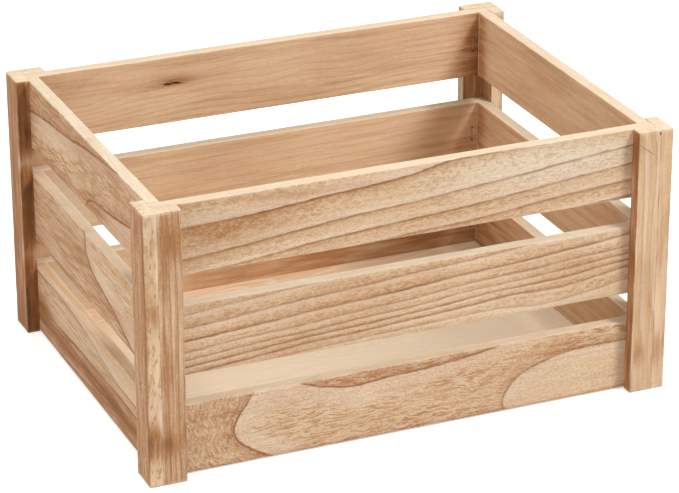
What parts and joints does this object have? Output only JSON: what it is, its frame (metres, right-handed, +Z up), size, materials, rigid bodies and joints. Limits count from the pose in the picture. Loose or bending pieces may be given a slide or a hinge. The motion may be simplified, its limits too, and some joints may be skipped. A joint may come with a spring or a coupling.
{
  "type": "wooden crate",
  "caption": "Open-topped slatted wooden storage crate with L-shaped corner posts, spaced side slats and a flat inset floor.",
  "frame": {"origin": "on the ground, under the middle of the crate", "axes": "+X along the long side, to the right when seen from the front; -Y towards the front; +Z up"},
  "size_m": [0.4, 0.3, 0.204],
  "materials": {
    "slat_wood": "pale wood with brown grain lines, lightly flamed, satin",
    "post_wood": "pale wood with brown grain lines, lightly flamed, satin",
    "floor_panel": "pale plain sheet, sanded",
    "staple_steel": "dull plated wire"
  },
  "bodies": {
    "root": {"floor_panel": "floor_panel", "front_slat_bottom": "slat_wood", "front_slat_middle": "slat_wood", "front_slat_top": "slat_wood", "right_slat_bottom": "slat_wood", "right_slat_middle": "slat_wood", "right_slat_top": "slat_wood", "back_slat_bottom": "slat_wood", "back_slat_middle": "slat_wood", "back_slat_top": "slat_wood", "left_slat_bottom": "slat_wood", "left_slat_middle": "slat_wood", "left_slat_top": "slat_wood", "front_left_post_front_board": "post_wood", "front_left_post_left_board": "post_wood", "front_right_post_front_board": "post_wood", "front_right_post_right_board": "post_wood", "back_left_post_back_board": "post_wood", "back_left_post_left_board": "post_wood", "back_right_post_back_board": "post_wood", "back_right_post_right_board": "post_wood", "front_bottom_staple_front_left": "staple_steel", "front_bottom_staple_front_right": "staple_steel", "front_middle_staple_front_left": "staple_steel", "front_middle_staple_front_right": "staple_steel", "front_top_staple_front_left": "staple_steel", "front_top_staple_front_right": "staple_steel", "right_bottom_staple_front_right": "staple_steel", "right_bottom_staple_back_right": "staple_steel", "right_middle_staple_front_right": "staple_steel", "right_middle_staple_back_right": "staple_steel", "right_top_staple_front_right": "staple_steel", "right_top_staple_back_right": "staple_steel", "back_bottom_staple_back_right": "staple_steel", "back_bottom_staple_back_left": "staple_steel", "back_middle_staple_back_right": "staple_steel", "back_middle_staple_back_left": "staple_steel", "back_top_staple_back_right": "staple_steel", "back_top_staple_back_left": "staple_steel", "left_bottom_staple_back_left": "staple_steel", "left_bottom_staple_front_left": "staple_steel", "left_middle_staple_back_left": "staple_steel", "left_middle_staple_front_left": "staple_steel", "left_top_staple_back_left": "staple_steel", "left_top_staple_front_left": "staple_steel"}
  },
  "joints": []
}
